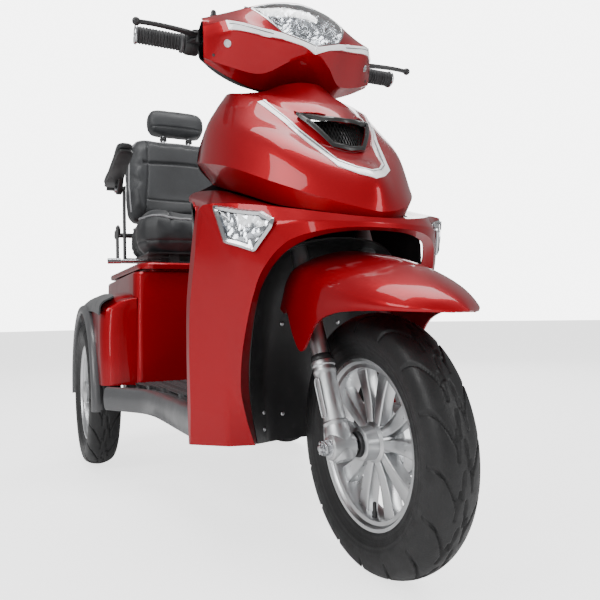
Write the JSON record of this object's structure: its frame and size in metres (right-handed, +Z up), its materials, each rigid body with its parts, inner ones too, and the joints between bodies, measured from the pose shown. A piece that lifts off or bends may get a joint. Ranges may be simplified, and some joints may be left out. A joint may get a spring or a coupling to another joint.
{
  "type": "mobility scooter",
  "caption": "Three-wheeled electric mobility scooter: glossy fairings, telescopic front fork, padded swivel seat with fold-up armrests and headrest, cast wheels.",
  "frame": {"origin": "on the ground under the middle of the scooter, halfway along its length and width", "axes": "+X forward, +Y to the rider's left, +Z up"},
  "size_m": [1.55, 0.69, 1.1549],
  "materials": {
    "red_panel": "glossy metallic red over moulded plastic",
    "black_plastic": "fine-grained black moulding",
    "grey_plastic": "satin grey moulding",
    "frame_paint": "black powder coat",
    "steel": "bright zinc",
    "chrome": "polished",
    "fork_silver": "silver paint",
    "cast_alloy": "polished casting",
    "tyre_rubber": "tread rubber",
    "grip_rubber": "ribbed rubber",
    "mat_rubber": "ribbed rubber mat",
    "seat_leather": "grained dark grey leatherette",
    "clear_lens": "clear faceted lens",
    "white_lamp": "white light bar",
    "red_lens": "red faceted lens",
    "reflector": "vacuum-metallised",
    "battery_case": "moulded case",
    "spring_paint": "red powder coat"
  },
  "bodies": {
    "chassis": {"frame": "frame_paint", "floor_pan": "frame_paint", "floor_mat": "mat_rubber", "floor_skirt": "grey_plastic", "front_shield": "red_panel", "hood": "red_panel", "hood_light_strip": "white_lamp", "hood_grille": "black_plastic", "indicator_lenses": "clear_lens", "wheel_liner": "black_plastic", "rider_panel": "black_plastic", "rear_shell": "red_panel", "fender_trims": "grey_plastic", "battery_lid": "black_plastic", "battery_pack": "battery_case", "motor_controller": "cast_alloy", "tail_lamps": "red_lens", "seat_post": "frame_paint", "shock_bodies": "frame_paint", "rear_springs": "spring_paint", "panel_screws": "steel", "headset_bearings": "steel"},
    "steering": {"fork_crown": "frame_paint", "stanchions": "fork_silver", "handlebar": "frame_paint", "head_cover": "red_panel", "dash_cover": "black_plastic", "headlight_reflector": "reflector", "headlight_lens": "clear_lens", "running_lamps": "white_lamp", "grip_left": "grip_rubber", "switch_pods": "black_plastic"},
    "throttle": {"throttle_grip": "grip_rubber"},
    "brake_right": {"brake_lever_right": "black_plastic"},
    "brake_left": {"brake_lever_left": "black_plastic"},
    "horn": {"horn_button": "red_lens"},
    "indicator_switch": {"turn_switch": "grey_plastic"},
    "key": {"ignition_key": "steel"},
    "fork_lower": {"fork_sliders": "fork_silver", "front_fender": "red_panel", "front_axle": "steel", "front_brake_plate": "cast_alloy"},
    "front_wheel": {"front_tyre": "tyre_rubber", "front_rim": "cast_alloy"},
    "swing": {"swing_arm": "frame_paint", "transaxle": "cast_alloy"},
    "shock_feet": {"shock_rods": "chrome"},
    "rear_wheel_right": {"rear_tyre_right": "tyre_rubber", "rear_rim_right": "cast_alloy"},
    "rear_wheel_left": {"rear_tyre_left": "tyre_rubber", "rear_rim_left": "cast_alloy"},
    "seat_swivel": {"swivel_plate": "frame_paint"},
    "swivel_handle": {"swivel_lever": "steel"},
    "seat": {"seat_base": "frame_paint", "seat_cushion": "seat_leather"},
    "seat_back": {"backrest": "seat_leather", "backrest_frame": "frame_paint"},
    "head_rest": {"headrest": "seat_leather"},
    "arm_right": {"armrest_right": "seat_leather"},
    "arm_left": {"armrest_left": "seat_leather"}
  },
  "joints": [
    {"name": "steer", "type": "hinge", "parent": "chassis", "child": "steering", "pos_m": [0.52238, 0, 0.19728], "axis": [-0.3907, 0, 0.9205], "range_deg": [-30, 30]},
    {"name": "fork_travel", "type": "slide", "parent": "steering", "child": "fork_lower", "axis": [-0.3907, 0, 0.9205], "range_m": [-0.015, 0.02], "stiffness_N_per_m": 12000, "springref_m": -0.0198},
    {"name": "front_wheel_spin", "type": "hinge", "parent": "fork_lower", "child": "front_wheel", "pos_m": [0.55, 0, 0.209], "axis": [0, 1, 0], "continuous": true},
    {"name": "throttle_twist", "type": "hinge", "parent": "steering", "child": "throttle", "pos_m": [0.172, -0.12, 0.985], "axis": [-0.0825, -0.9958, 0.0385], "range_deg": [0, 60]},
    {"name": "brake_squeeze_right", "type": "hinge", "parent": "steering", "child": "brake_right", "pos_m": [0.199, -0.19, 0.992], "axis": [0, 0, -1], "range_deg": [0, 12]},
    {"name": "brake_squeeze_left", "type": "hinge", "parent": "steering", "child": "brake_left", "pos_m": [0.199, 0.19, 0.992], "axis": [0, 0, 1], "range_deg": [0, 12]},
    {"name": "horn_press", "type": "slide", "parent": "steering", "child": "horn", "axis": [1, 0, 0], "range_m": [0, 0.002]},
    {"name": "turn_signal_slide", "type": "slide", "parent": "steering", "child": "indicator_switch", "axis": [0, 1, 0], "range_m": [-0.003, 0.003]},
    {"name": "key_turn", "type": "hinge", "parent": "steering", "child": "key", "pos_m": [0.1395, -0.07, 0.9727], "axis": [-0.9835, 0, 0.1807], "range_deg": [0, 90]},
    {"name": "rear_suspension", "type": "hinge", "parent": "chassis", "child": "swing", "pos_m": [-0.262, 0, 0.2], "axis": [0, 1, 0], "range_deg": [-2, 4], "stiffness_Nm_per_rad": 6000, "springref_deg": -2.21, "deforming": ["rear_springs"]},
    {"name": "shock_travel", "type": "slide", "parent": "chassis", "child": "shock_feet", "axis": [0, 0, 1], "range_m": [-0.0107, 0.0213]},
    {"name": "rear_wheel_spin_right", "type": "hinge", "parent": "swing", "child": "rear_wheel_right", "pos_m": [-0.514, -0.3015, 0.209], "axis": [0, 1, 0], "continuous": true},
    {"name": "rear_wheel_spin_left", "type": "hinge", "parent": "swing", "child": "rear_wheel_left", "pos_m": [-0.514, 0.3015, 0.209], "axis": [0, 1, 0], "continuous": true},
    {"name": "seat_turn", "type": "hinge", "parent": "chassis", "child": "seat_swivel", "pos_m": [-0.45, 0, 0.57], "axis": [0, 0, 1], "continuous": true},
    {"name": "swivel_release", "type": "hinge", "parent": "seat_swivel", "child": "swivel_handle", "pos_m": [-0.33, -0.141, 0.582], "axis": [-1, 0, 0], "range_deg": [0, 8]},
    {"name": "seat_slide", "type": "slide", "parent": "seat_swivel", "child": "seat", "axis": [1, 0, 0], "range_m": [-0.05, 0.04]},
    {"name": "recline", "type": "hinge", "parent": "seat", "child": "seat_back", "pos_m": [-0.59, 0, 0.7], "axis": [0, 1, 0], "range_deg": [-30, 65]},
    {"name": "headrest_height", "type": "slide", "parent": "seat_back", "child": "head_rest", "axis": [-0.2079, 0, 0.9781], "range_m": [0, 0.05]},
    {"name": "armrest_lift_right", "type": "hinge", "parent": "seat", "child": "arm_right", "pos_m": [-0.5, -0.24, 0.812], "axis": [0, -1, 0], "range_deg": [0, 85]},
    {"name": "armrest_lift_left", "type": "hinge", "parent": "seat", "child": "arm_left", "pos_m": [-0.5, 0.24, 0.812], "axis": [0, -1, 0], "range_deg": [0, 85]}
  ],
  "couplings": [
    {"joint": "shock_travel", "follows": "rear_suspension", "m_per_rad": 0.304}
  ]
}
